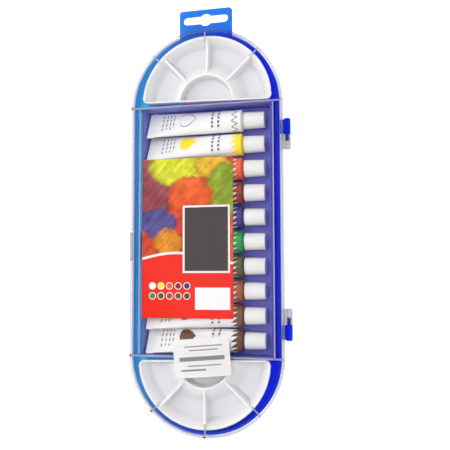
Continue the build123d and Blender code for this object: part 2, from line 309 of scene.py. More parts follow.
def grain(place, scale, detail=2.0, roughness=0.5, stretch=(1, 1, 1), turn=0.0):
    # fractal noise; the pattern is drawn out by the stretch along its own axes, then turned
    drawn = {"Vector": place, "Scale": [1 / part for part in stretch], "Rotation": (0, 0, turn)}
    mapped = addNode(place.tree, "ShaderNodeMapping", drawn, vector_type="TEXTURE")
    noise = {"Vector": mapped, "Scale": scale, "Detail": detail, "Roughness": roughness}
    return addNode(place.tree, "ShaderNodeTexNoise", noise)


def speckle(place, noise, *span):
    # noise faded over a span: from low to high, and the two values it goes between
    return fade(grain(place, *noise), *span)


def relief(place, noise, depth, strength):
    # noise as small heights that tilt the surface's normal
    bump = {"Height": grain(place, *noise), "Distance": depth, "Strength": strength}
    return addNode(place.tree, "ShaderNodeBump", bump)


bluePlastic = {"deep": (0.004, 0.028, 0.50), "bright": (0.006, 0.042, 0.62), "drift": ((22, 3), 0.35, 0.65),
               "mattAndPaintedReflection": (0.235, 0.22, 0.64), "mattX": (0.0466, 0.0458), "mattY": (0.0872, 0.0864),
               "mattZ": (0.0174, 0.0166), "mattRoughness": 0.45, "ior": 1.5,
               "scuff": ((260, 4, 0.6), 0.5, 0.75, 0.14, 0.30), "ripple": ((900, 2), 0.00004, 0.5),
               "latchLight": (0.26, 0.76, 0.96), "hingeLight": (0.003, 0.11, 0.95),
               "lightX": (-0.040, 0.046), "tabY": (0.136, 0.139), "lowerEndShade": (-0.134, -0.112, 0.45, 1.0),
               "glow": 0.69, "tabGlow": 0.50, "mattGlow": 0.20}


def blueFinish():
    # moulded plastic that lets light through; the colour of the light let through is painted light, azure on
    # the latch side and in the thin tab, royal blue by the hinges, and dimmer towards the lower end as
    # painted shade;
    # polished outside and spark-eroded in the tray, where a paler violet painted reflection covers the blue;
    # with slow colour drift, ripple and scuffs
    material, tree = newFinish("caseBluePlastic")
    place = objectPlace(tree)
    x, y, z = axes(place)
    mattAndPaintedReflection = fade(abs(x), *bluePlastic["mattX"]) * fade(abs(y), *bluePlastic["mattY"])
    mattAndPaintedReflection = mattAndPaintedReflection * fade(z, *bluePlastic["mattZ"])
    colour = blendColour(speckle(place, *bluePlastic["drift"]), bluePlastic["deep"], bluePlastic["bright"])
    # the matt tray also gets a paler violet colour, a painted reflection; its higher roughness is the real
    # matt finish
    colour = blendColour(mattAndPaintedReflection, colour, bluePlastic["mattAndPaintedReflection"])
    scuff = speckle(place, *bluePlastic["scuff"])
    gloss = scuff.math("MAXIMUM", mattAndPaintedReflection * bluePlastic["mattRoughness"])
    body = shader(tree, "Principled", Base_Color=colour, Roughness=gloss, IOR=bluePlastic["ior"],
                  Normal=relief(place, *bluePlastic["ripple"]))
    # painted light: the light let through is azure on the latch side and in the tab, royal blue towards the
    # hinges
    hingeSide = fade(y, *bluePlastic["tabY"], fade(x, *bluePlastic["lightX"]), 0.0)
    light = blendColour(hingeSide, bluePlastic["latchLight"], bluePlastic["hingeLight"])
    # painted shade: less light is let through towards the lower end, so it darkens to navy
    share = fade(y, *bluePlastic["lowerEndShade"]) * bluePlastic["glow"]
    share = fade(y, *bluePlastic["tabY"], share, bluePlastic["tabGlow"])
    share = fade(mattAndPaintedReflection, 0.0, 1.0, share, bluePlastic["mattGlow"])
    return finishWith(material, mixShaders(share, body, shader(tree, "Translucent", Color=light)))


clearPlastic = {"tint": (0.968, 0.970, 0.978), "wallTint": (0.79, 0.76, 0.765),
                "edgeTint": (0.33, 0.33, 0.36), "ribEndShade": (0.06, 0.06, 0.12), "milk": (0.80, 0.80, 0.84),
                "wall": (0.75, 0.2), "flat": (0.1, 0.4), "edgeOn": (0.35, 0.65),
                "platePower": 6.0, "wallPower": 3.2, "barrelPower": 0.9, "barrelX": (0.0543, 0.0547),
                "ribs": (0.0179, 0.0194), "foot": 0.0124, "roundedEdge": (0.0197, 0.0204), "edgeShade": 0.95,
                "plateFrost": 0.002, "wallFrostAndGlint": 0.13, "ribFrostAndGlint": 0.50,
                "ripple": ((60, 2), 0.0004, 0.35), "wear": ((340, 3), 0.45, 0.7, 0.05, 0.16),
                "facing": 0.025, "grazing": 0.75, "steepness": 5.0}
ribSpot = {"arcCentre": 0.0855, "wall": 0.0521, "slantHalf": 0.0013, "half": 0.0009, "crossAt": 0.0005,
           "low": 0.0172, "fadeX": (0.004, 0.03, 1.0, 0.25), "upperFrom": 0.004, "upperLoss": 0.8}


def ribSpots(x, y, height):
    # painted shade: dark where the skirt shows a rib end on, close to the rib's line: straight, slanted or
    # across; most on the latch side, where the camera looks along the ribs, and least on the upper arc
    aside, past = abs(x), abs(y) - ribSpot["arcCentre"]
    straight, slanted = aside < ribSpot["half"], abs(aside - past) < ribSpot["slantHalf"]
    line = slanted.math("MAXIMUM", straight) * (distance(aside, past) > ribSpot["wall"]) * (past > 0.0)
    across = (abs(past - ribSpot["crossAt"]) < ribSpot["half"]) * (aside > ribSpot["wall"])
    spots = line.math("MAXIMUM", across) * fade(x, *ribSpot["fadeX"])
    upperArc = (y > 0.0) * (past > ribSpot["upperFrom"])
    return spots * (1.0 - upperArc * ribSpot["upperLoss"]) * (height > ribSpot["low"])


def clearFinish():
    # clear moulding: light passes straight through, less of it in walls, ribs and edge-on faces; a milky
    # share whitens walls and ribs as painted highlight, with a faint haze on the plate; the reflected share
    # is f + g (1 - cos)^5
    material, tree = newFinish("lidClearPlastic")
    place = objectPlace(tree)
    x, y, height = axes(place)
    upright = abs(axes(addNode(tree, "ShaderNodeTexCoord", which="Normal"))[2])
    wall = fade(upright, *clearPlastic["wall"])
    rib = within(height, clearPlastic["ribs"]).math("MAXIMUM", height < clearPlastic["foot"])
    rib = rib * fade(upright, *clearPlastic["flat"])
    # milky share: faint haze on the plate, and walls and ribs whitened as painted highlight
    frostAndPaintedGlint = wall * clearPlastic["wallFrostAndGlint"] + clearPlastic["plateFrost"]
    frostAndPaintedGlint = rib * clearPlastic["ribFrostAndGlint"] + frostAndPaintedGlint
    ripple = relief(place, *clearPlastic["ripple"])
    facing = addNode(tree, "ShaderNodeLayerWeight", {"Blend": 0.5, "Normal": ripple}, "Facing")
    power = fade(wall, 0.0, 1.0, clearPlastic["platePower"], clearPlastic["wallPower"])
    power = fade(x, *clearPlastic["barrelX"], power, clearPlastic["barrelPower"])
    tint = blendColour(wall, clearPlastic["tint"], clearPlastic["wallTint"])
    tint = blendColour(facing ** power, tint, clearPlastic["edgeTint"])
    # painted shade: a dark band round the lid's rounded top edge
    rounded = within(height, clearPlastic["roundedEdge"]) * clearPlastic["edgeShade"]
    tint = blendColour(rounded, tint, clearPlastic["edgeTint"])
    edgeOn = (1.0 - wall).math("MAXIMUM", fade(facing, *clearPlastic["edgeOn"]))
    # painted shade: dark spots on the skirt at the rib ends
    tint = blendColour(ribSpots(x, y, height) * edgeOn, tint, clearPlastic["ribEndShade"])
    through = shader(tree, "Transparent", Color=tint)
    milky = shader(tree, "Diffuse", Color=clearPlastic["milk"])
    wear = speckle(place, *clearPlastic["wear"])
    gloss = shader(tree, "Glossy", Color=(1, 1, 1), Roughness=wear, Normal=ripple)
    reflected = facing ** clearPlastic["steepness"] * clearPlastic["grazing"] + clearPlastic["facing"]
    return finishWith(material, mixShaders(reflected, mixShaders(frostAndPaintedGlint, through, milky), gloss))


whitePlastic = {"drift": ((35, 3), 0.3, 0.7), "darker": 0.96, "milk": 0.08, "milkDepth": 0.002,
                "milkRadius": (1, 0.9, 0.8)}
palettePlastic = {"white": (0.845, 0.83, 0.805), "wear": ((240, 3), 0.4, 0.7, 0.28, 0.40),
                  "fine": ((600, 2), 0.00003, 0.5), "thin": (0.0088, 0.0158), "thinTint": (0.84, 0.85, 0.89)}
capPlastic = {"white": (0.80, 0.79, 0.755), "wear": ((320, 3), 0.4, 0.7, 0.34, 0.46),
              "fine": ((800, 2), 0.00003, 0.5)}


def whiteFinish(name, look):
    # opaque white moulding: faint warm drift in the colour, fine grain in roughness and relief; where asked,
    # low parts get a painted shade with a blue cast, fading out from a height upwards
    material, tree = newFinish(name)
    place = objectPlace(tree)
    darker = [whitePlastic["darker"] * c for c in look["white"]]
    colour = blendColour(speckle(place, *whitePlastic["drift"]), look["white"], darker)
    # painted shade: low parts darker and bluer, fading out upwards
    if "thin" in look:
        paintedShadeColour = blendColour(1.0, colour, look["thinTint"], "MULTIPLY")
        colour = blendColour(fade(axes(place)[2], *look["thin"]), paintedShadeColour, colour)
    body = shader(tree, "Principled", Base_Color=colour, Roughness=speckle(place, *look["wear"]),
                  Normal=relief(place, *look["fine"]), Subsurface_Weight=whitePlastic["milk"],
                  Subsurface_Scale=whitePlastic["milkDepth"], Subsurface_Radius=whitePlastic["milkRadius"])
    return finishWith(material, body)


blue = blueFinish()
clear = clearFinish()
paletteWhite = whiteFinish("paletteWhitePlastic", palettePlastic)
capWhite = whiteFinish("capWhitePlastic", capPlastic)
print("moulded finishes ready")


# case

case = {"height": 18.0, "rimRadius": 51.5, "rimCentre": 85.5, "rimDepth": 4.2,
        "pocketRadius": 49.4, "pocketCentre": 86.2, "wall": 1.3, "floor": 1.6, "draft": 3.5,
        "baseEdge": 1.2, "flat": 4.0, "rounding": (0, 0.8, 0.8, 0.5, 0.4, 0.6, 0.6, 1.6, 0), "sink": 0.2,
        "trayHalfWidth": 45.0, "trayHalfLength": 85.4, "rib": 1.2, "ribTop": 17.0, "ribEdge": 0.35,
        "restTurns": (22.5, 67.5, 112.5, 157.5), "restCentre": 88.2, "restRadius": 34.0,
        "restSize": (6.0, 1.4), "restTop": 7.4, "restEdge": 0.2}
hangTab = {"width": 38.0, "end": 154.4, "low": 14.6, "high": 16.6, "corner": 2.4, "edge": 0.45,
           "slotCentre": 147.0, "slotWidth": 32.0, "slotHeight": 5.6, "bump": 8.8, "root": 50.6}
hinge = {"x": 56.0, "z": 12.0, "radius": 2.3, "caseBarrel": (63.9, 74.6), "lidBarrel": (53.3, 63.75),
         "pin": 1.2, "pinEnd": 59.6, "pinEdge": 0.3, "boreEnd": 59.2, "bore": 1.25, "arm": (9.6, 11.6),
         "armEdge": 0.3, "inset": 0.6, "edge": 0.25, "round": 1.2, "wallLean": 1.1, "gussetLow": 3.5,
         "gussetCorner": (54.8, 10.6), "gussetHalf": 0.8, "nose": (1.4, 1.7), "bracketStart": 2.2,
         "bracketTop": (0.2, 5.2)}
catch = {"x": -52.2, "rootZ": (7.6, 11.2), "faceZ": (9.9, 10.7), "gap": 0.3, "corner": 0.2, "edge": 0.3}
latch = {"y": (-21.0, -1.0), "root": (-53.4, 17.35), "thickness": 1.3, "bend": (1.6, 4.4), "web": 0.5,
         "bulge": -56.9, "low": 8.4, "bevel": 0.9, "hookHeight": 2.2, "hookBevel": 0.7, "hookWeb": 1.0,
         "notch": 0.4, "rootGap": 0.15, "edge": 0.5}


def caseShell():
    # underside, drafted wall, rim band, pocket wall and floor as one profile round the outline
    lean = math.tan(math.radians(case["draft"]))
    height, floor, flat = case["height"], case["floor"], case["flat"]
    inner, outer = case["pocketRadius"], case["pocketRadius"] + case["wall"]
    base, rimLow = outer - height * lean, height - case["rimDepth"]
    floorRadius = inner - (height - floor) * lean
    pocket, rim = case["pocketCentre"], case["rimCentre"]
    corners = [(base - flat, pocket, 0), (base - case["baseEdge"], pocket, 0),
               (base, pocket, case["baseEdge"]), (outer - case["rimDepth"] * lean, pocket, rimLow),
               (case["rimRadius"], rim, rimLow), (case["rimRadius"], rim, height),
               (inner, pocket, height), (floorRadius, pocket, floor), (floorRadius - flat, pocket, floor)]
    profile = softened(corners, case["rounding"], closed=False)
    return patch(alongOutline(profile, outlinePath()), capFirst=True, capLast=True)


def caseRibs():
    # ribs that part the tray from the pockets, and small rests under the palettes
    crossX, sideX = case["pocketRadius"] + case["sink"], case["trayHalfWidth"] + case["rib"] / 2
    low = case["floor"] - case["sink"]
    ribs = []
    for end in bothEnds:
        ribs += ribFrame(end, crossX, sideX, low, case["ribTop"], case["ribEdge"])
        ribs += radialBars(end, case["restTurns"], case["restCentre"], case["restRadius"], case["restSize"],
                           low, case["restTop"], case["restEdge"])
    return ribs


def tabOutlines(steps=288):
    # both outlines as reaches along rays from the slot's middle, closest together towards its ends
    t = np.linspace(0, 2 * np.pi, steps, endpoint=False)
    c, s = hangTab["slotWidth"] * np.cos(t), hangTab["slotHeight"] * np.sin(t)
    c, s = c / np.hypot(c, s), s / np.hypot(c, s)
    sideways, upwards = np.maximum(np.abs(c), tiny), np.maximum(s, tiny)
    # slot: a bar with round ends, or the round bump where that reaches further
    half = hangTab["slotHeight"] / 2
    run = hangTab["slotWidth"] / 2 - half
    toBar = half / np.maximum(np.abs(s), tiny)
    toEnd = run * sideways + np.sqrt(np.maximum(half ** 2 - (run * s) ** 2, 0))
    slot = np.maximum(np.where(toBar * sideways < run, toBar, toEnd), hangTab["bump"] / 2)
    # tab: the nearest of its sides, its top with rounded corners and the round end of the case
    wide, top = hangTab["width"] / 2, hangTab["end"] - hangTab["slotCentre"]
    depth = hangTab["slotCentre"] - case["rimCentre"]
    left = hangTab["root"] ** 2 - (depth * c) ** 2
    toRoot = np.where((s < 0) & (left > 0), -depth * s - np.sqrt(np.maximum(left, 0)), far)
    tab = np.minimum(np.minimum(wide / sideways, top / upwards), toRoot)
    cornerX, cornerY = wide - hangTab["corner"], top - hangTab["corner"]
    reach = cornerX * sideways + cornerY * s
    bend = np.maximum(hangTab["corner"] ** 2 - cornerX ** 2 - cornerY ** 2 + reach ** 2, 0)
    tab = np.where((tab * sideways > cornerX) & (tab * s > cornerY), reach + np.sqrt(bend), tab)
    ray = np.stack([c, s], axis=1)
    return tab[:, None] * ray, slot[:, None] * ray


def hangTabPlate():
    # loops go up the outside, over the top to the slot, down it and back underneath
    outer, inner = tabOutlines()
    centre = np.array([0, hangTab["slotCentre"]])
    insets, heights = edgeSteps(hangTab["low"], hangTab["high"], hangTab["edge"])
    outerIn, innerIn = inwardNormals(outer), -inwardNormals(inner)
    loops = [(outer + inset * outerIn, height) for inset, height in zip(insets, heights)]
    loops += [(inner + inset * innerIn, height) for inset, height in zip(insets, heights[::-1])]
    rows = [np.column_stack([loop + centre, np.full(len(loop), height)]) for loop, height in loops]
    return patch(np.stack(rows), wrapRows=True)


def barrel(pair, end, hole=None, pin=None):
    # a hinge barrel turned about the hinge line, with its pin or its blind bore and a rounded free end
    edge, free, radius = hinge["edge"], hinge["round"], hinge["radius"]
    inner, outer = pair
    if pin:
        corners = [(0, pin[1]), pin, (pin[0], inner), (radius, inner), (radius, outer), (0, outer)]
        radii = (0, hinge["pinEdge"], 0, edge, free, 0)
    else:
        corners = [(0, inner), (radius, inner), (radius, outer), (hole[0], outer), hole, (0, hole[1])]
        radii = (0, free, edge, 0, 0, 0)
    profile = softened(corners, radii, closed=False)
    return turned(profile, np.array([hinge["x"], 0, hinge["z"]]), (0, end, 0), (1, 0, 0))


def caseFittings():
    # hinge arms with their gussets and barrels, and the ridge that the latch hooks under
    wallX = case["pocketRadius"] + case["wall"] / 2 - hinge["wallLean"]
    low, high = hinge["arm"]
    arm = softened([(wallX, low), (hinge["x"], low), (hinge["x"], high), (wallX, high)], hinge["armEdge"])
    cornerX, cornerZ = hinge["gussetCorner"]
    gusset = [(wallX, hinge["gussetLow"]), (cornerX, cornerZ), (wallX, cornerZ)]
    gusset, half = softened(gusset, hinge["armEdge"]), hinge["gussetHalf"]
    fittings = []
    for end in bothEnds:
        a, b = sorted(end * y for y in hinge["caseBarrel"])
        middle = (a + b) / 2
        fittings.append(slab(arm, a + hinge["inset"], b - hinge["inset"], hinge["armEdge"], acrossPlace))
        fittings.append(slab(gusset, middle - half, middle + half, hinge["edge"], acrossPlace))
        fittings.append(barrel(hinge["caseBarrel"], end, pin=(hinge["pin"], hinge["pinEnd"])))
    rootLow, rootHigh = catch["rootZ"]
    faceLow, faceHigh = catch["faceZ"]
    ridge = softened([(-wallX, rootLow), (catch["x"], faceLow), (catch["x"], faceHigh),
                      (catch["x"] + rootHigh - faceHigh, rootHigh), (-wallX, rootHigh)], catch["corner"])
    first, last = latch["y"]
    fittings.append(slab(ridge, first + catch["gap"], last - catch["gap"], catch["edge"], acrossPlace))
    return fittings


casePatches = [caseShell()] + caseRibs() + [hangTabPlate()] + caseFittings()
makePiece("caseMoulding", casePatches, blue, "case", ("case",))
print("case made")


# lid and latch

lid = {"radius": 53.5, "wall": 1.4, "top": 21.0, "plate": 1.5, "low": 12.0, "flat": 6.0,
       "rounding": (0, 1.5, 0.35, 0.35, 0.5, 0), "ribLow": 18.1, "ribEdge": 0.25, "ribSink": (0.2, 0.1),
       "sideRib": 47.2, "endTurns": (45, 90, 135), "endRibInner": 44.5,
       "tabNotchTop": 17.2, "tabNotchGap": 0.8, "step": 0.0005}


def lidShell():
    # skirt and top plate as one profile; over the hang tab and the latch its lowest height is raised
    radius, inner, top = lid["radius"], lid["radius"] - lid["wall"], lid["top"]
    under, centre, flat = top - lid["plate"], case["rimCentre"], lid["radius"] - lid["flat"]
    corners = [(flat, centre, top), (radius, centre, top), (radius, centre, lid["low"]),
               (inner, centre, lid["low"]), (inner, centre, under), (flat, centre, under)]
    profile = softened(corners, lid["rounding"], closed=False)
    # the path has a point just before and just after each notch's end
    turnAt = math.acos((hangTab["width"] / 2 + lid["tabNotchGap"]) / radius)
    sideLow = (latch["y"][0] - latch["notch"]) / centre
    sideHigh = (latch["y"][1] + latch["notch"]) / centre
    step = lid["step"]
    turns = [turnAt - step, turnAt + step, math.pi - turnAt - step, math.pi - turnAt + step]
    turn, share = outlinePath(turns, [sideLow - step, sideLow + step, sideHigh - step, sideHigh + step])
    points = alongOutline(profile, (turn, share))
    overTab = (turn > turnAt) & (turn < math.pi - turnAt) & (share == 1)
    overLatch = (turn == math.pi) & (share > sideLow) & (share < sideHigh)
    lowest = np.where(overTab, lid["tabNotchTop"], lid["low"])
    lowest = np.where(overLatch, latch["root"][1] + latch["rootGap"], lowest)
    points[..., 2] = np.maximum(points[..., 2], lowest[None])
    return patch(points, capFirst=True, capLast=True)


def lidRibs():
    # ribs under the plate, over those of the case, and three short ones in each end
    sideSink, topSink = lid["ribSink"]
    outer = lid["radius"] - lid["wall"] + sideSink
    low, high = lid["ribLow"], lid["top"] - lid["plate"] + topSink
    reach = outer - lid["endRibInner"]
    ribs = []
    for end in bothEnds:
        ribs += ribFrame(end, outer, lid["sideRib"], low, high, lid["ribEdge"])
        ribs += radialBars(end, lid["endTurns"], case["rimCentre"], lid["endRibInner"] + reach / 2,
                           (reach, case["rib"]), low, high, lid["ribEdge"])
    return ribs


def lidHinges():
    # brackets that run from the skirt over the hinge line, as outlines carried along Y, and their barrels
    wallX, x, z = lid["radius"] - lid["wall"] / 2, hinge["x"], hinge["z"]
    noseX, noseZ = hinge["nose"]
    inset, rise = hinge["bracketTop"]
    bracket = softened([(wallX, z), (x - hinge["bracketStart"], z), (x, z + noseZ), (x + noseX, z + noseZ),
                        (lid["radius"] - inset, z + rise), (wallX, z + rise)], hinge["edge"])
    parts = []
    for end in bothEnds:
        a, b = sorted(end * y for y in hinge["lidBarrel"])
        parts.append(slab(bracket, a + hinge["inset"], b - hinge["inset"], hinge["armEdge"], acrossPlace))
        parts.append(barrel(hinge["lidBarrel"], end, hole=(hinge["bore"], hinge["boreEnd"])))
    return parts


def latchTab():
    # a strip that bends out below its root and ends in a hook, as an outline carried along Y
    rootX, rootZ = latch["root"]
    outerX, innerX = latch["bulge"], latch["bulge"] + latch["thickness"]
    upperZ, lowerZ = [rootZ - drop for drop in latch["bend"]]
    low, hookX, hookTop = latch["low"], catch["x"] - catch["gap"], latch["low"] + latch["hookHeight"]
    bevel, web, hook = latch["bevel"], latch["web"], latch["hookBevel"]
    corners = [(rootX, rootZ), (rootX, upperZ), (outerX, lowerZ), (outerX, low + bevel),
               (outerX + bevel, low), (hookX - hook, low), (hookX, low + hook),
               (hookX, hookTop - hook), (hookX - hook, hookTop), (innerX + latch["hookWeb"], hookTop),
               (innerX, hookTop + latch["hookWeb"]), (innerX, lowerZ - web),
               (rootX + latch["thickness"], upperZ - web), (rootX + latch["thickness"], rootZ)]
    return slab(softened(corners, latch["edge"]), *latch["y"], latch["edge"], acrossPlace)


makePiece("lidMoulding", [lidShell()] + lidRibs() + lidHinges(), clear, "lid", ("lid",))
makePiece("latchThumbTab", [latchTab()], clear, "latch", ("latch_tab",))
print("lid and latch made")


# palettes

palette = {"radius": 46.3, "corner": 4.0, "top": 16.6, "wall": 1.2, "flange": 44.6, "floor": 8.6,
           "floorRadii": (29.0, 39.5), "ring": (18.4, 19.8), "ringTop": 16.0, "cupFloor": 17.3,
           "rounding": (0, 0.9, 0.5, 0.5, 1.6, 1.4, 0.7, 0), "underRounding": (0, 0.2, 0.2, 2, 2, 0.8, 0),
           "underShift": 0.7, "underRing": (0.3, 0.5), "past": 1.0,
           "dividerTurns": (45, 90, 135), "dividerHalf": 0.85, "dividerTop": 16.0, "dividerStart": 0.3,
           "dividerEdge": 0.15, "noDivider": -1e3, "steep": 5.5, "frontWall": 1.25, "frontEdge": 0.12,
           "fillet": 0.35, "edge": 0.3,
           "besideFront": (0, 0.08, 0.2, 0.35, 0.8, 1.12, 1.24, 1.36, 1.5, 1.7, 1.9, 2.1, 2.3, 2.8),
           "besideDivider": (0.3, 0.6, 0.74, 0.84, 0.96, 1.12, 1.3, 1.5, 1.75, 2.0, 2.3, 2.8),
           "acrossWell": 18, "downCup": 14,
           "rings": ((16.3, 20.3, 26), (20.3, 27.6, 12), (27.6, 30.4, 10), (30.4, 38.2, 8), (38.2, 40.6, 10),
                     (40.6, 43.8, 8), (43.8, 45.9, 10), (45.9, 46.3, 6)),
           "places": {"palette_upper": (0.0, 88.9, -1.5), "palette_lower": (-2.0, -88.2, 181.5)}}


def bowlTop(x, y):
    # the bowl's height depends on the radius; ridges stand on it and fall off steeply to each side
    radius = np.hypot(x, y)
    floorIn, floorOut = palette["floorRadii"]
    ringIn, ringOut = palette["ring"]
    floor, top, ringTop, corner = palette["floor"], palette["top"], palette["ringTop"], palette["corner"]
    corners = [(0, floor), (palette["cupFloor"], floor), (ringIn, ringTop), (ringOut, ringTop),
               (floorIn, floor), (floorOut, floor), (palette["flange"], top),
               (palette["radius"] + palette["past"], top)]
    profile = softened(corners, palette["rounding"], steps=8, closed=False)
    height = np.interp(radius, profile[:, 0], profile[:, 1])
    onBowl = radius > ringIn + palette["dividerStart"]
    for degrees in palette["dividerTurns"]:
        turn = math.radians(degrees)
        aside = np.abs(x * math.sin(turn) - y * math.cos(turn))
        drop = softMax(aside - palette["dividerHalf"], 0, palette["dividerEdge"])
        divider = np.where(onBowl, palette["dividerTop"] - palette["steep"] * drop, palette["noDivider"])
        height = softMax(height, divider, palette["fillet"])
    front = top - palette["steep"] * softMax(y - palette["frontWall"], 0, palette["frontEdge"])
    height = np.minimum(softMax(height, front, palette["fillet"]), top)
    # the outer edge is rounded by edge(1 - sqrt(1 - (1 - d / edge)^2)) at a distance d inside it
    cornerX = math.sqrt((palette["radius"] - corner) ** 2 - corner ** 2)
    inCorner = (np.abs(x) > cornerX) & (y < corner)
    fromCorner = corner - np.hypot(np.abs(x) - cornerX, y - corner)
    inside = np.where(inCorner, fromCorner, np.minimum(y, palette["radius"] - radius))
    away = 1 - np.clip(inside / palette["edge"], 0, 1)
    return height - palette["edge"] * (1 - np.sqrt(1 - away ** 2))


def bowlUnder(x, y):
    # a wall's thickness below the bowl
    floorIn, floorOut = palette["floorRadii"]
    low, wall, shift = palette["floor"] - palette["wall"], palette["wall"], palette["underShift"]
    ring, high = palette["ring"][0] + wall, palette["top"] - wall
    ringRun, ringDrop = palette["underRing"]
    corners = [(0, low), (ring, low), (ring + ringRun, palette["ringTop"] - wall - ringDrop),
               (floorIn - shift, low), (floorOut + shift, low), (palette["flange"] + shift, high),
               (palette["radius"] + palette["past"], high)]
    profile = softened(corners, palette["underRounding"], closed=False)
    return np.interp(np.hypot(x, y), profile[:, 0], profile[:, 1])


def paletteColumns():
    # lines from the cup's circle to the outline: beside the front wall and the ridges they run parallel to
    # them, at d from the ridge's turn: sqrt(r^2 - d^2) along it and d aside; between them the turn is shared
    radius, corner = palette["radius"], palette["corner"]
    startRadius = palette["rings"][0][0]
    cornerX = math.sqrt((radius - corner) ** 2 - corner ** 2)
    beside = np.array(palette["besideFront"])
    starts = np.stack([np.sqrt(startRadius ** 2 - beside ** 2), beside], axis=1)
    ends = np.stack([cornerX + np.sqrt(corner ** 2 - (corner - beside) ** 2), beside], axis=1)
    groups = [(starts, ends)]
    half = np.array(palette["besideDivider"])
    aside = np.concatenate([-half[::-1], [0], half])
    for degrees in palette["dividerTurns"]:
        c, s = math.cos(math.radians(degrees)), math.sin(math.radians(degrees))
        lines = [np.stack([c * run - s * aside, s * run + c * aside], axis=1)
                 for run in (np.sqrt(startRadius ** 2 - aside ** 2), np.sqrt(radius ** 2 - aside ** 2))]
        groups.append(lines)
    groups.append((starts[::-1] * (-1, 1), ends[::-1] * (-1, 1)))
    joined = [groups[0]]
    for before, after in zip(groups, groups[1:]):
        share = np.linspace(0, 1, palette["acrossWell"] + 2)[1:-1]
        between = []
        for side in (0, 1):
            first, last = [math.atan2(*point[::-1]) for point in (before[side][-1], after[side][0])]
            between.append(first + (last - first) * share)
        away = math.atan2(corner, cornerX)
        lean = np.minimum(between[1], np.pi - between[1]) - away
        past = np.maximum(corner ** 2 - (radius - corner) ** 2 * np.sin(lean) ** 2, 0)
        reach = np.where(lean < away / 2, (radius - corner) * np.cos(lean) + np.sqrt(past), radius)
        reach = np.minimum(reach, radius)
        joined.append((startRadius * np.stack([np.cos(between[0]), np.sin(between[0])], axis=1),
                       reach[:, None] * np.stack([np.cos(between[1]), np.sin(between[1])], axis=1)))
        joined.append(after)
    return [np.concatenate([group[side] for group in joined]) for side in (0, 1)]


def paletteSurface(place):
    # rows go from the straight front over the cup and along the lines to the outline, then back underneath
    starts, ends = paletteColumns()
    beside = np.array(palette["besideFront"])[:, None]
    across = starts[None, :, 0] * np.ones((len(beside) + palette["downCup"], 1))
    share = np.linspace(0, 1, palette["downCup"] + 2)[1:-1, None]
    strip = np.minimum(beside, starts[:, 1])
    cup = strip[-1] + (starts[:, 1] - strip[-1]) * share
    cupRows = np.stack([across, np.concatenate([strip, cup])], axis=-1)
    radii = np.concatenate([np.linspace(first, last, count, endpoint=False)
                            for first, last, count in palette["rings"]] + [[palette["radius"]]])
    share = ((radii - radii[0]) / (radii[-1] - radii[0]))[:, None, None]
    rows = np.concatenate([cupRows, starts + (ends - starts) * share])
    x, y = rows[..., 0], rows[..., 1]
    height = np.concatenate([bowlTop(x, y), bowlUnder(x, y)[::-1]])
    loopX, loopY = np.concatenate([x, x[::-1]]), np.concatenate([y, y[::-1]])
    centreX, centreY, degrees = place
    c, s = math.cos(math.radians(degrees)), math.sin(math.radians(degrees))
    points = np.stack([centreX + c * loopX - s * loopY, centreY + s * loopX + c * loopY, height], axis=-1)
    # the front's two sides beside the cup
    count, columns = x.shape
    step = np.arange(count - 1)
    corners = np.stack([step, step + 1, 2 * count - 2 - step, 2 * count - 1 - step], axis=-1) * columns
    sides = np.concatenate([corners, corners + columns - 1])
    return patch(points, wrapRows=True, wrapColumns=False, extraQuads=sides)


for node, place in palette["places"].items():
    makePiece(node + "_bowls", [paletteSurface(place)], paletteWhite, "case", (node,), 42)
print("palettes made")


# tubes and caps

tube = {"firstY": 75.3, "pitch": 16.75, "shoulderX": 24.4, "axisZ": 9.25, "length": 68.1,
        "radius": 7.6, "bodyEnd": -0.5, "crimpLength": 5.5, "crimpHalf": 10.8, "bodyHalf": 10.3,
        "pinched": 0.6, "fullness": 1.25,
        "crimpRows": ((0, 0.2, 0.45), (0.05, 0, 0.65), (4.9, 0, 0.65), (5.2, 0.3, 0.55)),
        "roll": (27.0, 2.5, 2.1), "shoulder": 1.6, "shoulderTop": 4.6, "neck": 4.1, "neckLength": 9.0,
        "bead": 0.1, "beadAlong": (-0.2, 0.15, 0.35), "lip": 0.2, "step": 0.05, "squareness": 0.35,
        "wave": (0.25, 0.55, 1.3), "steps": (56, 72)}
cap = {"gap": 0.25, "length": 14.3, "radii": (5.95, 5.6), "rounding": (0, 0.35, 0.7, 0), "bore": 4.2,
       "boreDepth": 12.3}
paints = {"white": (0.84, 0.83, 0.80), "lemon": (0.95, 0.72, 0.02), "orange": (0.80, 0.10, 0.03),
          "crimson": (0.28, 0.03, 0.02), "ultramarine": (0.05, 0.035, 0.20), "green": (0.01, 0.30, 0.07),
          "olive": (0.10, 0.09, 0.035), "sienna": (0.33, 0.085, 0.03), "umber": (0.20, 0.065, 0.03),
          "sepia": (0.13, 0.055, 0.028)}


def tubeAxes(index):
    # the tube lies along X; its flat end is rolled about that line like a roof tile
    degrees, spread, rhythm = tube["roll"]
    roll = math.radians(degrees + spread * math.sin(rhythm * index))
    origin = np.array([tube["shoulderX"], tube["firstY"] - index * tube["pitch"], tube["axisZ"]])
    return origin, np.array([1.0, 0, 0]), np.array([0, -math.cos(roll), math.sin(roll)])


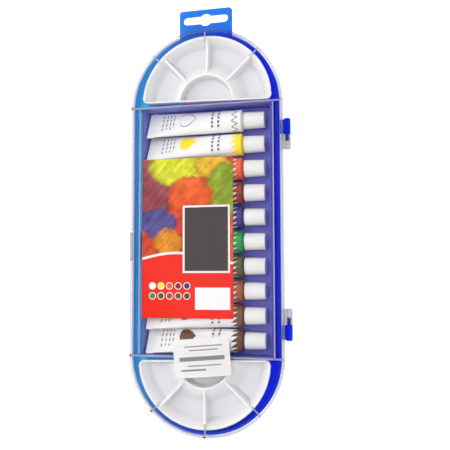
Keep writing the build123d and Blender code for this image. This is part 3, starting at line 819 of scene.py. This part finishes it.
def tubeSkin(index):
    # cross sections are ovals: half width grows from the radius to the crimp as half thickness goes
    origin, axis, across = tubeAxes(index)
    sideways = np.cross(axis, across)
    alongSteps, roundSteps = tube["steps"]
    radius, bead, shoulder = tube["radius"], tube["bead"], tube["shoulder"]
    crimpStart = tube["crimpLength"] - tube["length"]
    bodyAlong = np.linspace(crimpStart, tube["bodyEnd"], alongSteps)
    t = bodyAlong / crimpStart
    halfWidth = radius + (tube["bodyHalf"] - radius) * t
    halfThickness = tube["pinched"] + (radius - tube["pinched"]) * (1 - t ** tube["fullness"])
    crimpAlong, crimpIn, crimpThick = np.array(tube["crimpRows"]).T
    neckAlong = [*tube["beadAlong"], shoulder, shoulder + tube["step"], shoulder + tube["neckLength"]]
    neckWide = [radius + bead, radius + bead, radius - tube["lip"], tube["shoulderTop"], tube["neck"],
                tube["neck"]]
    along = np.concatenate([crimpAlong - tube["length"], bodyAlong, neckAlong])
    wide = np.concatenate([tube["crimpHalf"] - crimpIn, halfWidth, neckWide])[:, None]
    thick = np.concatenate([crimpThick, halfThickness, neckWide])[:, None]
    angle = np.linspace(np.pi / 2, 5 * np.pi / 2, roundSteps + 1)[None]
    flat = np.concatenate([np.ones(len(crimpAlong)), t ** 3, np.zeros(len(neckAlong))])[:, None]
    # towards the crimp the oval becomes a plate: the sine is pushed to its sign
    lift = np.sin(angle)
    lift = (1 - flat) * lift + flat * np.sign(np.round(lift, 6)) * np.abs(lift) ** tube["squareness"]
    a = wide * np.cos(angle)
    depth, wavelets, shift = tube["wave"]
    swell = np.sin(np.pi * np.clip(-along[:, None] / tube["length"], 0, 1))
    b = thick * lift + depth * flat * np.sin(wavelets * a + shift * index) * swell
    points = origin + along[:, None, None] * axis + a[..., None] * across + b[..., None] * sideways
    # the print runs round from the upper side: arc length is angle times the tube's radius
    around = np.broadcast_to((angle - 3 * np.pi / 2) * radius, a.shape)
    uv = np.stack([np.broadcast_to(-along[:, None], a.shape), around], axis=-1) / tubePrint["mapSize"]
    return patch(points, wrapColumns=False, capFirst=True, capLast=True), uv


def capSkin(index):
    # a turned wall that narrows to a rounded crown, with its bore left open below
    origin, axis, across = tubeAxes(index)
    base, upper = cap["radii"]
    corners = [(cap["bore"], 0), (base, 0), (upper, cap["length"]), (0, cap["length"])]
    bore = np.array([(0, cap["boreDepth"]), (cap["bore"], cap["boreDepth"])])
    profile = np.concatenate([bore, softened(corners, cap["rounding"], closed=False)])
    return turned(profile, origin + (tube["shoulder"] + cap["gap"]) * axis, axis, across, steps=56)


# bars are (level, thickness, reach, strength); the zigzag is (low, depth, pitch, thickness)
tubePrint = {"mapSize": 100.0, "band": 2.4, "toothDepth": 5.0, "toothPitch": 3.8,
             "zigzag": (2.2, 3.9, 4.5, 0.5), "drop": (32.3, 44.3), "dropSwell": 12.8, "dropLine": 0.28,
             "dropLeast": 0.05, "middle": -0.9, "dash": 2.9, "dashShare": 0.66,
             "bars": ((15.5, 1.6, 9.4, 0.85), (20.0, 1.6, 9.0, 0.85), (48.9, 0.9, 4.4, 0.8),
                      (51.4, 0.9, 5.6, 0.8), (54.2, 0.9, 5.2, 0.8), (57.2, 0.9, 6.2, 0.8)),
             "barInk": (0.05, 0.05, 0.055), "lineInk": (0.03, 0.03, 0.03),
             "laminate": (0.87, 0.85, 0.825), "greyer": (0.81, 0.79, 0.765), "drift": ((60, 3), 0.3, 0.7),
             "wear": ((300, 3), 0.4, 0.7, 0.30, 0.45), "crinkle": ((120, 3, 0.5, (1, 3, 3)), 0.0005, 0.35)}


def tubeFinish(name, ink, outlineOnly):
    # white laminate; near the shoulder a band of paint colour with a toothed edge, and a drop further on
    material, tree = newFinish("tubePrint_" + name)
    uvPlace = addNode(tree, "ShaderNodeUVMap", uv_map="printMap")
    along, around = [part * tubePrint["mapSize"] for part in axes(uvPlace)[:2]]
    tooth = (around / tubePrint["toothPitch"]).math("FRACT")
    band = along < tooth * tubePrint["toothDepth"] + tubePrint["band"]
    # drop: half width is k sqrt(p) (1 - p) along its length, from its round end to its point
    first, last = tubePrint["drop"]
    p = (last - along).math("DIVIDE", last - first, clamp=True)
    half = p.math("SQRT") * (1.0 - p) * tubePrint["dropSwell"]
    aside = abs(around - tubePrint["middle"])
    inside = half - aside
    drop = inside > 0.0
    if outlineOnly:
        # only drawn round: a thin zigzag, low + depth |2 fract(around / pitch) - 1|, and the drop's outline
        low, depth, pitch, thickness = tubePrint["zigzag"]
        edge = abs((around / pitch).math("FRACT") * 2.0 - 1.0) * depth + low
        band = abs(along - edge) < thickness
        drop = (abs(inside) < tubePrint["dropLine"]) * (half > tubePrint["dropLeast"])
    # plain bars run round the tube, a bold pair near the band and thin ones past the drop, as dashes
    bars = 0.0
    for level, thickness, reach, strength in tubePrint["bars"]:
        bar = (abs(along - level) < thickness / 2) * (aside < reach) * strength
        bars = bar.math("MAXIMUM", bars)
    bars = bars * ((around / tubePrint["dash"]).math("FRACT") < tubePrint["dashShare"])
    place = objectPlace(tree)
    colour = blendColour(speckle(place, *tubePrint["drift"]), tubePrint["laminate"], tubePrint["greyer"])
    colour = blendColour(bars, colour, tubePrint["barInk"])
    colour = blendColour(band.math("MAXIMUM", drop), colour, tubePrint["lineInk"] if outlineOnly else ink)
    body = shader(tree, "Principled", Base_Color=colour, Roughness=speckle(place, *tubePrint["wear"]),
                  Normal=relief(place, *tubePrint["crinkle"]))
    return finishWith(material, body)


for index, (paintName, ink) in enumerate(paints.items()):
    number = "%02d" % (index + 1)
    surface, uv = tubeSkin(index)
    printed = tubeFinish(paintName, ink, paintName == "white")
    makePiece("tube_" + number + "_laminate", [surface], printed, "case",
              ("tube_" + number,), uv=uv)
    makePiece("cap_" + number + "_moulding", [capSkin(index)], capWhite, "cap_" + number,
              ("cap_" + number,))
print("tubes and caps made")


# card and sticker; places on the card are shares of its width and length

card = {"centre": (-13.1, -5.5), "size": (65.1, 110.0), "low": 17.0, "thickness": 0.35, "corner": 0.6,
        "edge": 0.08}
cardPrint = {"washes": ((0.10, 0.80, 0.26, 0.20, (0.26, 0.05, 0.07)),
                        (0.42, 0.93, 0.34, 0.11, (0.53, 0.56, 0.012)),
                        (0.78, 0.95, 0.20, 0.08, (0.88, 0.45, 0.02)),
                        (0.90, 0.78, 0.20, 0.18, (0.26, 0.40, 0.02)),
                        (0.55, 0.76, 0.26, 0.13, (0.82, 0.085, 0.008)),
                        (0.18, 0.60, 0.20, 0.10, (0.07, 0.08, 0.28)),
                        (0.30, 0.47, 0.16, 0.09, (0.80, 0.30, 0.012))),
             "wobbleU": ((55, 4), 0.22), "wobbleV": ((70, 4, 0.6), 0.14),
             "flow": ((34, 4, 0.55, (1, 0.6, 1), 0.6), 0.35, 0.68), "ground": (0.66, 0.035, 0.018),
             "groundLight": (0.80, 0.20, 0.022), "washEdge": (1.10, 0.86, 0.0, 0.94),
             "pool": (0.70, 1.0, 0.0, 0.5), "poolShare": 0.4, "thinner": (1.35, 0.015, 0.9),
             "hairs": ((420, 3, 0.6, (1, 0.10, 1), -0.75), 0.35, 0.7, 0.78, 1.10),
             "settled": ((160, 5, 0.7), 0.35, 0.65, 0.80, 1.08),
             "red": (0.82, 0.018, 0.004), "wave": (4.2, 0.035, 0.37), "rule": (0.88, 0.85, 0.80),
             "ruleHalf": 0.0075,
             "panels": (((0.455, 0.965), (0.28, 0.70), (0.86, 0.83, 0.80)),
                        ((0.475, 0.945), (0.292, 0.688), (0.072, 0.058, 0.056)),
                        ((0.59, 0.965), (0.055, 0.19), (0.86, 0.85, 0.83))),
             "dotStart": (0.12, 0.20), "dotStep": (0.095, 0.062), "dotsInRow": 5, "dotRadius": 2.0,
             "dotRing": 2.5, "ring": (0.88, 0.86, 0.82), "roughness": 0.20, "specular": 0.35,
             "fibre": ((900, 3), 0.00003, 0.4)}


def cardFinish():
    # watery washes over a red field, a dark panel, a pale rule and panel, and ten dots of paint colour
    material, tree = newFinish("cardPrint")
    place = objectPlace(tree)
    x, y = axes(place)[:2]
    width, length = card["size"]
    u = (x - (card["centre"][0] - width / 2) * mm) / (width * mm)
    v = (y - (card["centre"][1] - length / 2) * mm) / (length * mm)
    wetU, wetV = [(grain(place, *noise) - 0.5) * swing + share
                  for share, (noise, swing) in ((u, cardPrint["wobbleU"]), (v, cardPrint["wobbleV"]))]
    flow = speckle(place, *cardPrint["flow"])
    colour = blendColour(flow, cardPrint["ground"], cardPrint["groundLight"])
    gain, lift, most = cardPrint["thinner"]
    for centreU, centreV, radiusU, radiusV, ink in cardPrint["washes"]:
        away = distance((wetU - centreU) / radiusU, (wetV - centreV) / radiusV)
        shade = blendColour(flow, ink, [min(gain * c + lift, most) for c in ink])
        pooled = [cardPrint["poolShare"] * c for c in ink]
        shade = blendColour(fade(away, *cardPrint["pool"]), shade, pooled)
        colour = blendColour(fade(away, *cardPrint["washEdge"]), colour, shade)
    # brush hairs and settled pigment darken the washes in streaks
    streaks = speckle(place, *cardPrint["hairs"]) * speckle(place, *cardPrint["settled"])
    colour = blendColour(1.0, colour, streaks, "MULTIPLY")
    # the red field's upper edge is a long wave, level + height sin(rate u), with a pale rule along it
    rate, height, level = cardPrint["wave"]
    wave = (u * rate).math("SINE") * height + level
    colour = blendColour(v < wave, colour, cardPrint["red"])
    colour = blendColour(abs(v - wave) < cardPrint["ruleHalf"], colour, cardPrint["rule"])
    for spanU, spanV, ink in cardPrint["panels"]:
        colour = blendColour(within(u, spanU) * within(v, spanV), colour, ink)
    # dots in rows, each in a tube's colour with a pale ring
    for index, ink in enumerate(paints.values()):
        down, right = divmod(index, cardPrint["dotsInRow"])
        dotU = cardPrint["dotStart"][0] + cardPrint["dotStep"][0] * right
        dotV = cardPrint["dotStart"][1] - cardPrint["dotStep"][1] * down
        away = distance((u - dotU) * width, (v - dotV) * length)
        colour = blendColour(away < cardPrint["dotRing"], colour, cardPrint["ring"])
        colour = blendColour(away < cardPrint["dotRadius"], colour, ink)
    body = shader(tree, "Principled", Base_Color=colour, Roughness=cardPrint["roughness"],
                  Specular_IOR_Level=cardPrint["specular"], Normal=relief(place, *cardPrint["fibre"]))
    return finishWith(material, body)


# each bar is (level, left, right, thickness) in shares of the sticker's size
sticker = {"centre": (-1.5, -86.0), "size": (39.0, 25.6), "turn": 5.2, "corner": 2.4, "low": 21.01,
           "thickness": 0.11, "edge": 0.05, "paper": (0.76, 0.755, 0.74), "greyer": (0.73, 0.725, 0.71),
           "drift": (500, 4), "fibre": ((1100, 3), 0.00002, 0.4), "roughness": 0.5,
           "ink": (0.06, 0.06, 0.065), "inkStrength": 0.85, "light": (0.95, 0.94, 0.92), "lightShare": 0.32,
           "bars": ((0.30, -0.30, 0.38, 0.03), (0.20, -0.22, 0.30, 0.03), (-0.02, -0.40, 0.40, 0.11),
                    (-0.20, -0.26, 0.34, 0.03), (-0.31, -0.38, 0.06, 0.05))}


def stickerFinish():
    # white paper that lets a little light through, with five plain grey bars on its upper face only
    material, tree = newFinish("stickerPaper")
    place = objectPlace(tree)
    onSticker = {"Vector": place, "Location": [part * mm for part in sticker["centre"]] + [0],
                 "Rotation": (0, 0, math.radians(sticker["turn"])),
                 "Scale": [part * mm for part in sticker["size"]] + [1]}
    u, v = axes(addNode(tree, "ShaderNodeMapping", onSticker, vector_type="TEXTURE"))[:2]
    upper = axes(place)[2] > (sticker["low"] + sticker["thickness"] / 2) * mm
    colour = blendColour(grain(place, *sticker["drift"]), sticker["paper"], sticker["greyer"])
    for level, left, right, thickness in sticker["bars"]:
        bar = within(u, (left, right)) * within(v, (level - thickness / 2, level + thickness / 2))
        colour = blendColour(bar * upper * sticker["inkStrength"], colour, sticker["ink"])
    body = shader(tree, "Principled", Base_Color=colour, Roughness=sticker["roughness"],
                  Normal=relief(place, *sticker["fibre"]))
    through = shader(tree, "Translucent", Color=sticker["light"])
    return finishWith(material, mixShaders(sticker["lightShare"], body, through))


def sheet(look, degrees=0.0):
    # a flat rounded rectangle of the look's size and thickness at its place
    outline = rectangle(look["centre"], look["size"], math.radians(degrees), look["corner"])
    return slab(outline, look["low"], look["low"] + look["thickness"], look["edge"])


makePiece("cardSheet", [sheet(card)], cardFinish(), "case", ("card_insert",))
makePiece("stickerLabel", [sheet(sticker, sticker["turn"])], stickerFinish(), "lid",
          ("price_sticker",))
print("card and sticker made")


# floor, light and camera

studio = {"floorHalf": 6.0, "floorLow": -0.0003, "floorGrid": 9, "floorGlow": 0.85, "floorRoughness": 0.9,
          "floorGrain": (6, 3), "pale": (0.56, 0.56, 0.56), "greyer": (0.53, 0.53, 0.53),
          "sky": (-0.7, 0.7, 1.15, 0.8), "overhead": (0.62, 0.86, 1.0, 0.08)}
lights = {"keyLight": ((-1.0, 0.5, 0.75), (0.7, 0.9), 6.0, True),
          "fillLight": ((0.8, -0.5, 0.9), (0.7, 0.7), 2.5, True),
          "aboveLight": ((-0.1, 0.1, 1.1), (1.0, 1.0), 10.5, False)}
view = {"place": (0.11471, -0.02912, 0.43596), "turns": (("X", 4.334), ("Y", 13.513), ("Z", -1.191)),
        "lens": 51.07, "sensor": 36, "nearest": 0.01}


def softLight(name, place, size, power, mirrored):
    # an area light that faces the box, seen in reflections only if asked
    data = bpy.data.lights.new(name, "AREA")
    data.shape = "RECTANGLE"
    data.size, data.size_y = size
    data.energy = power
    light = bpy.data.objects.new(name, data)
    light.visible_glossy = mirrored
    light.location = place
    light.rotation_euler = (-Vector(place)).to_track_quat("-Z", "Y").to_euler()
    bpy.context.scene.collection.objects.link(light)


def floorSheet():
    # a flat grid just under the box, softly lit from within like a photographer's light table
    line = np.linspace(-studio["floorHalf"], studio["floorHalf"], studio["floorGrid"])
    x, y = np.meshgrid(line, line, indexing="ij")
    points = np.stack([x, y, np.full(x.shape, studio["floorLow"])], axis=-1).reshape(-1, 3)
    quads = gridQuads(*x.shape, False, False)
    mesh = bpy.data.meshes.new("studioFloor")
    mesh.from_pydata(points.tolist(), [], quads.tolist())
    material, tree = newFinish("floorPaper")
    colour = blendColour(grain(objectPlace(tree), *studio["floorGrain"]), studio["pale"], studio["greyer"])
    body = shader(tree, "Principled", Base_Color=colour, Roughness=studio["floorRoughness"],
                  Emission_Color=(1, 1, 1), Emission_Strength=studio["floorGlow"])
    mesh.materials.append(finishWith(material, body))
    floor = bpy.data.objects.new("studioFloor", mesh)
    bpy.context.scene.collection.objects.link(floor)


def skyLight():
    # white all round, brighter on the latch side, and dark overhead so that the lid doesn't mirror it
    world = bpy.data.worlds.new("studioWorld")
    world.use_nodes = True
    toSky = axes(addNode(world.node_tree, "ShaderNodeTexCoord", which="Generated"))
    strength = fade(toSky[0], *studio["sky"]) * fade(toSky[2], *studio["overhead"])
    background = world.node_tree.nodes["Background"]
    world.node_tree.links.new(strength.socket, background.inputs["Strength"])
    background.inputs["Color"].default_value = (1, 1, 1, 1)
    bpy.context.scene.world = world


def photoCamera():
    # turned about X, then Y, then Z of its own, and moved to its place
    data = bpy.data.cameras.new("photoCamera")
    data.lens, data.sensor_width, data.clip_start = view["lens"], view["sensor"], view["nearest"]
    camera = bpy.data.objects.new("photoCamera", data)
    matrix = Matrix.Translation(view["place"])
    for axis, degrees in view["turns"]:
        matrix = matrix @ Matrix.Rotation(math.radians(degrees), 4, axis)
    camera.matrix_world = matrix
    bpy.context.scene.collection.objects.link(camera)
    bpy.context.scene.camera = camera


floorSheet()
skyLight()
for name, settings in lights.items():
    softLight(name, *settings)
photoCamera()
bpy.context.scene.view_settings.view_transform = "Standard"
print("studio ready")
